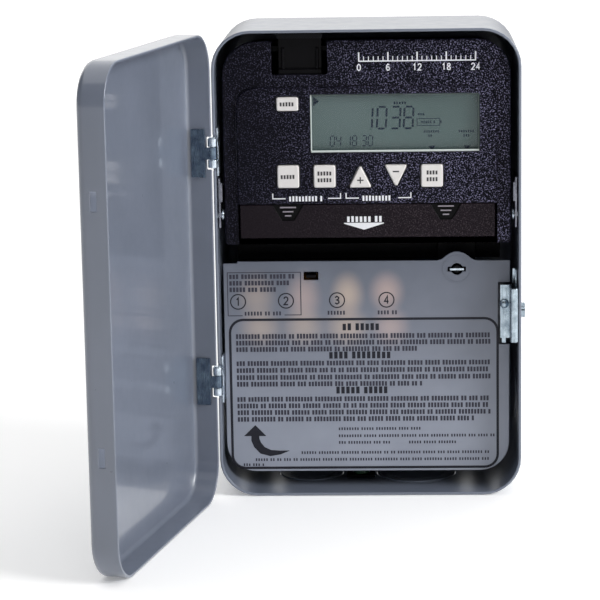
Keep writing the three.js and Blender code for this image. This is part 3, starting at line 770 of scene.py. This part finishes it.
def seven_segment(mark, digit, x, z, wide, high, width):
    """A display digit whose lower left corner is at x, z."""
    gap = width * 0.6
    middle = z + high / 2

    def slanted(points):
        return [(px + (pz - z) * LEAN, pz) for px, pz in points]

    ends = {
        "a": [(x + gap, z + high), (x + wide - gap, z + high)],
        "b": [(x + wide, z + high - gap), (x + wide, middle + gap)],
        "c": [(x + wide, middle - gap), (x + wide, z + gap)],
        "d": [(x + gap, z), (x + wide - gap, z)],
        "e": [(x, middle - gap), (x, z + gap)],
        "f": [(x, z + high - gap), (x, middle + gap)],
        "g": [(x + gap, middle), (x + wide - gap, middle)],
    }
    for segment in SEVEN[digit]:
        mark.line(slanted(ends[segment]), width)


# The Y of each face that carries marks.
COVER_Y = -56.0
PANEL_Y = -57.3
STRIP_Y = -57.1
KEY_Y = -58.3
CELL_Y = -53.7
SHEET_Y = -53.6


def print_cover_marks():
    """A plain 24-hour scale on the cover's top, and the brackets under the keys."""
    scale = Print(COVER_Y)
    first, last, base = -3.0, 45.0, 84.6
    scale.bar(first - 0.2, last + 0.2, base - 0.25, base + 0.25)
    for hour in range(25):
        x = first + (last - first) * hour / 24
        tall = 3.4 if hour % 6 == 0 else 1.7
        half = 0.3 if hour % 6 == 0 else 0.18
        scale.bar(x - half, x + half, base + 0.25, base + 0.25 + tall)
        if hour % 6 == 0:
            write_number(scale, str(hour), x, base - 2.6, 2.6, 0.45)
    scale.done("cover_scale_print", "white_ink", "case")

    rng = random.Random(11)
    marks = Print(PANEL_Y)
    brackets = ((-39.4, -34.1, -16.4, -11.2), (-8.9, -3.6, 12.8, 18.0))
    for left, gap0, gap1, right in brackets:
        marks.line([(left, 30.0), (left, 27.8), (gap0, 27.8)], 0.45)
        marks.line([(gap1, 27.8), (right, 27.8), (right, 30.0)], 0.45)
        marks.ticks(gap0 + 1.5, gap1 - 1.2, 27.7, 2.2, rng, 1.35, 0.58)
    marks.done("bracket_print", "white_ink", "case")


def print_strip_marks():
    """A group of ticks over a wide arrowhead, on the battery strip."""
    marks = Print(STRIP_Y)
    marks.ticks(-8.6, 5.9, 18.9, 2.5, random.Random(5), 1.75, 0.6)
    marks.patch([(-9.9, 17.0), (-1.6, 14.4), (6.7, 17.0), (6.7, 17.35), (-9.9, 17.35)])
    marks.done("strip_print", "white_ink", "battery_cover")


def print_key_marks():
    """Rows of ticks on four keys, and a plus and a minus on the triangular ones."""
    rng = random.Random(3)
    legends = {
        "mode": (-32.7, [67.4], 6.2),
        "reset": (-32.8, [37.1], 6.2),
        "next": (-17.7, [38.4, 35.6], 5.8),
        "on_off": (26.8, [38.4, 35.6], 4.4),
    }
    for name, (x, rows, wide) in legends.items():
        mark = Print(KEY_Y, 0.04)
        for z in rows:
            mark.ticks(x - wide / 2, x + wide / 2 + 0.4, z, 1.7, rng, 1.22, 0.66)
        mark.done(f"key_{name}_print", "key_ink", f"button_{name}")
    plus = Print(KEY_Y, 0.04)
    half, arm = 0.26, 1.35
    x, z = -2.9, 35.4
    cross = [(x - half, z - arm), (x + half, z - arm), (x + half, z - half), (x + arm, z - half)]
    cross += [(x + arm, z + half), (x + half, z + half), (x + half, z + arm), (x - half, z + arm)]
    cross += [(x - half, z + half), (x - arm, z + half), (x - arm, z - half), (x - half, z - half)]
    plus.patch(cross)
    plus.done("key_plus_print", "key_ink", "button_plus")
    minus = Print(KEY_Y, 0.04)
    minus.bar(11.9 - 1.3, 11.9 + 1.3, 38.65, 39.2)
    minus.done("key_minus_print", "key_ink", "button_minus")


def make_segments():
    """What the display shows: a time, a date in numbers, small flags and markers."""
    rng = random.Random(7)
    mark = Print(CELL_Y, 0.05)
    mark.patch([(-22.1, 69.8), (-22.1, 65.9), (-19.7, 67.9)])
    seven_segment(mark, "1", -1.2, 56.3, 3.2, 9.0, 0.8)
    for digit, x in (("0", 4.1), ("3", 9.8), ("8", 15.2)):
        seven_segment(mark, digit, x, 56.3, 3.7, 9.0, 0.8)
    x = -15.4
    for digit in "04 18 30":
        if digit != " ":
            seven_segment(mark, digit, x, 49.2, 1.75, 4.2, 0.42)
        x += 2.6 if digit != " " else 1.4
    mark.ticks(11.2, 16.9, 66.9, 1.1, rng, 1.1, 0.6)
    mark.ticks(21.2, 24.0, 62.1, 1.0, rng, 1.0, 0.6)
    mark.line([(20.8, 57.4), (30.2, 57.4), (30.2, 60.3), (20.8, 60.3)], 0.26, closed=True)
    mark.bar(30.45, 30.95, 58.2, 59.5)
    mark.ticks(22.6, 28.6, 58.85, 1.1, rng, 0.9, 0.55)
    for x0, x1 in ((23.6, 30.2), (38.0, 44.9)):
        middle = (x0 + x1) / 2
        mark.ticks(x0, x1, 54.9, 1.0, rng, 0.95, 0.55)
        mark.ticks(middle - 1.5, middle + 1.4, 53.1, 1.0, rng, 0.95, 0.55)
        pointer = [(-1.5, 48.9), (1.5, 48.9), (0.7, 47.9), (0, 47.5), (-0.7, 47.9)]
        mark.patch([(middle + x, z) for x, z in pointer])
    mark.done("display_segments", "segment", "case")


# Rows of ticks on the insulator: left end, right end, height of the row's middle.
BOX_ROWS = [(-58.6, -30.2, -5.8), (-58.6, -33.2, -8.6), (-58.6, -39.2, -11.4)]
TERMINAL_ROWS = [(-52.4, -37.0, -21.7), (-17.4, -9.4, -21.6), (3.7, 11.8, -21.6)]
BODY_ROWS = [
    (-56.3, 50.9, -31.6), (-56.3, 50.9, -34.4), (-56.3, 19.9, -37.2),
    (-56.3, 50.9, -43.3), (-56.3, 50.9, -46.3), (-56.3, 50.9, -49.4), (-56.3, 22.6, -52.3),
    (-56.3, 50.9, -58.9), (-56.3, 50.9, -61.8), (-56.3, 50.9, -64.7), (-56.3, 44.6, -67.6),
]
SMALL_ROWS = [
    (-13.4, 22.2, -72.0), (-13.4, 53.2, -75.1), (-13.4, 9.2, -78.0), (16.4, 36.6, -78.0),
    (-29.4, 50.9, -82.4), (-49.0, 50.9, -85.4), (-54.2, -44.4, -87.6),
]
HEADING_ROWS = [(-11.2, 4.9, -27.7), (-17.0, 11.4, -39.9), (-14.2, 8.7, -55.1)]
# The middles of the circled numbers, in X and Z.
TERMINALS = [(-55.1, -16.6), (-34.9, -16.3), (-13.4, -16.2), (7.4, -16.2)]


def print_insulator_marks():
    """The sheet's border, arrow, numbered terminals and rows of ticks, and its small trim."""
    rng = random.Random(19)
    bold = Print(SHEET_Y)
    bold.border(-58.8, 54.0, -89.0, -24.4, 5.6, 1.05)
    for x0, x1, z in HEADING_ROWS:
        bold.ticks(x0, x1, z, 3.0, rng, 2.1, 0.68)
    for number, (x, z) in enumerate(TERMINALS, 1):
        bold.circle(x, z, 3.15, 0.5)
        write_number(bold, str(number), x, z, 3.3, 0.55)
    hook = [(-34.6, -81.5), (-38.5, -82.3), (-42.6, -82.5), (-46.0, -81.3)]
    hook += [(-48.1, -78.9), (-49.0, -76.6), (-49.0, -74.9)]
    bold.line(hook, [0.15, 1.7, 2.7, 3.3, 3.5, 3.5, 3.4])
    bold.patch([(-53.8, -75.0), (-44.3, -75.0), (-48.9, -70.2)])
    bold.done("insulator_bold_print", "black_ink", "insulator")

    fine = Print(SHEET_Y)
    box = [(-59.4, -22.6), (-59.4, -4.1), (-28.6, -4.1), (-28.6, -22.4), (-35.6, -22.4)]
    fine.line(box, 0.36)
    fine.line([(-59.4, -22.6), (-53.3, -22.6)], 0.34)
    for x0, x1, z in BOX_ROWS:
        fine.ticks(x0, x1, z, 2.0, rng, 1.4, 0.72)
    for x0, x1, z in TERMINAL_ROWS:
        fine.ticks(x0, x1, z, 1.7, rng, 1.3, 0.56)
    for x0, x1, z in BODY_ROWS:
        fine.ticks(x0, x1, z, 2.1, rng, 1.3, 0.7)
    for x0, x1, z in SMALL_ROWS:
        fine.ticks(x0, x1, z, 1.2, rng, 1.12, 0.55)
    fine.done("insulator_fine_print", "grey_ink", "insulator")

    # A painted highlight: a thin zinc bar across the front of the insulator hanger.
    low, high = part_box("insulator_post")
    middle = (low.z + high.z) / 2 / MM
    edge = Print(low.y / MM)
    edge.bar(low.x / MM + 0.5, high.x / MM - 0.5, middle - 0.4, middle + 0.4)
    edge.done("insulator_hanger_painted_highlight", "zinc", "case")

    ring = Print(SHEET_Y, 0.2, 0.1)
    ring.circle(37.0, -3.3, 5.7, 0.5, 40)
    ring.done("insulator_embossed_ring", "frosted", "insulator")


make_window()
print_cover_marks()
print_strip_marks()
print_key_marks()
make_segments()
print_insulator_marks()

# -------------------------------------------------------------------- stage


# Metres from the floor's middle to its edge, and from the object's lowest point down to it.
FLOOR_REACH = 6.0
FLOOR_GAP = 0.0002


def make_floor():
    low, _ = CAD_BOX
    work = bmesh.new()
    bmesh.ops.create_grid(work, x_segments=2, y_segments=2, size=FLOOR_REACH)
    mesh = bpy.data.meshes.new("floor")
    work.to_mesh(mesh)
    work.free()
    floor = bpy.data.objects.new("floor", mesh)
    bpy.context.scene.collection.objects.link(floor)
    floor.location = (0, 0, low.z - FLOOR_GAP)
    floor.data.materials.append(floor_paper())


def area_light(name, place, aim, size, watts):
    data = bpy.data.lights.new(name, "AREA")
    data.shape = "RECTANGLE"
    data.size, data.size_y = size
    data.energy = watts
    light = bpy.data.objects.new(name, data)
    bpy.context.scene.collection.objects.link(light)
    light.location = place
    light.rotation_euler = (Vector(aim) - Vector(place)).to_track_quat("-Z", "Y").to_euler()


def make_camera():
    """The camera fitted to the case's rim and the open door."""
    yaw, pitch, roll = -0.040, -0.194, -0.016
    level = math.cos(pitch)
    forward = Vector((math.sin(yaw) * level, math.cos(yaw) * level, math.sin(pitch)))
    right = Vector((math.cos(yaw), -math.sin(yaw), 0))
    up = right.cross(forward)
    across = right * math.cos(roll) + up * math.sin(roll)
    upward = -right * math.sin(roll) + up * math.cos(roll)
    data = bpy.data.cameras.new("camera")
    data.sensor_width = 36
    data.lens = 147.0
    data.shift_x, data.shift_y = -0.0205, -0.0331
    data.clip_start, data.clip_end = 0.05, 50
    camera = bpy.data.objects.new("camera", data)
    bpy.context.scene.collection.objects.link(camera)
    turn = Matrix((across, upward, -forward)).transposed().to_4x4()
    place = (0.01673, -1.06284, 0.19091)
    camera.matrix_world = Matrix.Translation(place) @ turn
    bpy.context.scene.camera = camera


def make_world():
    world = bpy.data.worlds.new("studio")
    world.use_nodes = True
    background = world.node_tree.nodes["Background"]
    background.inputs["Color"].default_value = WHITE
    background.inputs["Strength"].default_value = 0.12
    bpy.context.scene.world = world


make_floor()
make_world()
make_camera()
# Each light's place and aim in metres, its width and height, and its watts.
area_light("overhead", (0, 0.8, 2.8), (0, 0.8, 0), (5.0, 4.4), 80)
area_light("back", (0, 3.3, 1.5), (0, 0, 0.1), (7.0, 2.6), 62)
area_light("key", (1.5, -0.72, 0.8), (0, -0.06, 0), (0.8, 0.8), 28)
area_light("front", (0.3, -2.0, 1.4), (0, -0.06, 0), (0.9, 0.9), 4)
bpy.context.scene.view_settings.view_transform = "Standard"
